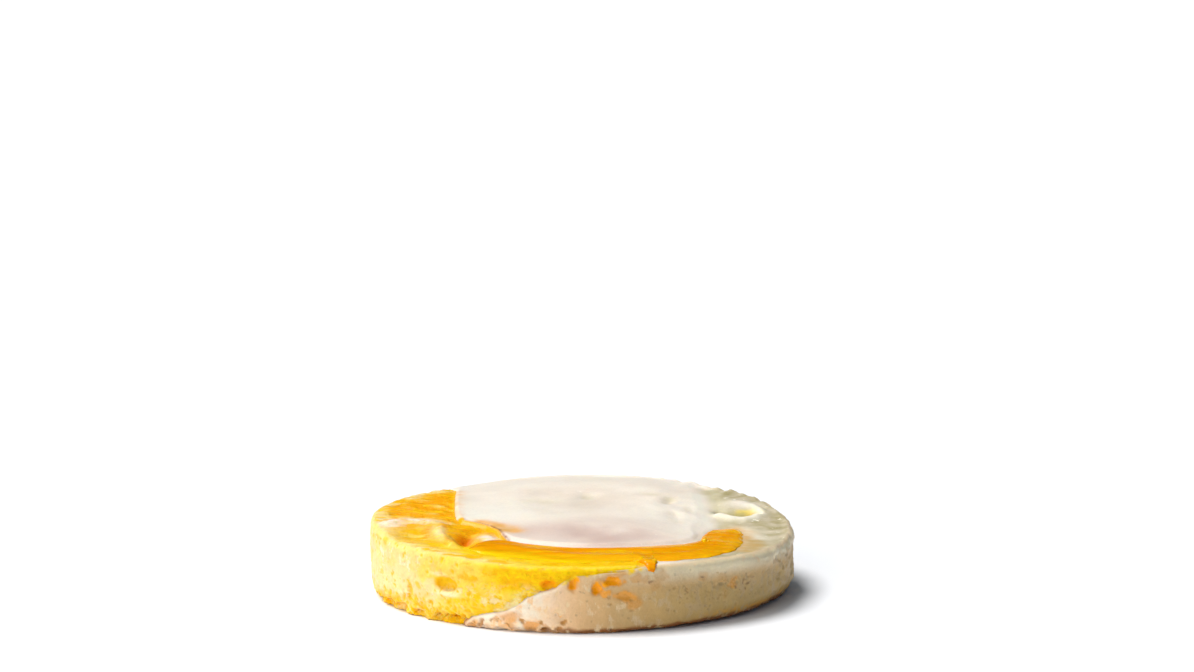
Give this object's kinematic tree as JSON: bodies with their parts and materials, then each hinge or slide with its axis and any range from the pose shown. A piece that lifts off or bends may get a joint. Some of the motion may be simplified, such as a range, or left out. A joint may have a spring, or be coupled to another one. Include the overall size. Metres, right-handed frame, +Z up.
{
  "type": "fried egg",
  "caption": "Round fried egg cooked in an egg ring, with a raised cap of smooth white, a broken set yolk down one side and a glossy runny band of yolk along the front edge.",
  "frame": {"origin": "centre of the underside, on the surface that the egg lies on", "axes": "+Z up, out of the egg's top; -Y towards the front edge with the runny band; +X to the right as seen from the front"},
  "size_m": [0.0782, 0.078, 0.0149],
  "materials": {
    "cooked_white": "moist, slightly glossy cooked egg white, beige on the sides and browned along the bottom edge",
    "set_yolk": "set, slightly porous yolk, pale yellow to orange",
    "runny_yolk": "wet, glossy orange yolk"
  },
  "bodies": {
    "root": {"egg_white": "cooked_white", "yolk": "set_yolk", "runny_yolk": "runny_yolk"}
  },
  "joints": []
}
